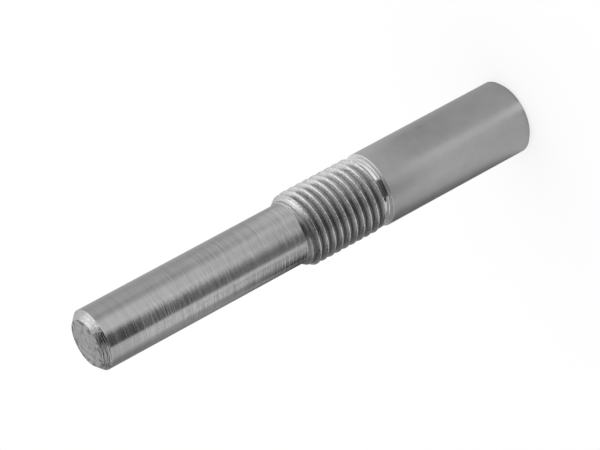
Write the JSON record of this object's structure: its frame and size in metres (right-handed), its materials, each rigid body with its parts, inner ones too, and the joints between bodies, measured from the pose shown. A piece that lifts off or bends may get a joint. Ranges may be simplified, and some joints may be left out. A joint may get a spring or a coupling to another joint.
{
  "type": "threaded pin",
  "caption": "Turned steel pin with a plain shank, a threaded middle with a relief groove and a longer journal of reduced diameter.",
  "frame": {"origin": "centre of the shank's flat end, which is the foot it stands on", "axes": "+Z along the pin's axis, from the shank towards the journal; +X marks where the thread's sweep begins"},
  "size_m": [0.0112, 0.0112, 0.0738],
  "materials": {
    "turned_steel": "bare bright steel as turned, with fine circumferential tool marks; satin shank, brighter thread"
  },
  "bodies": {
    "root": {"threaded_pin": "turned_steel"}
  },
  "joints": []
}
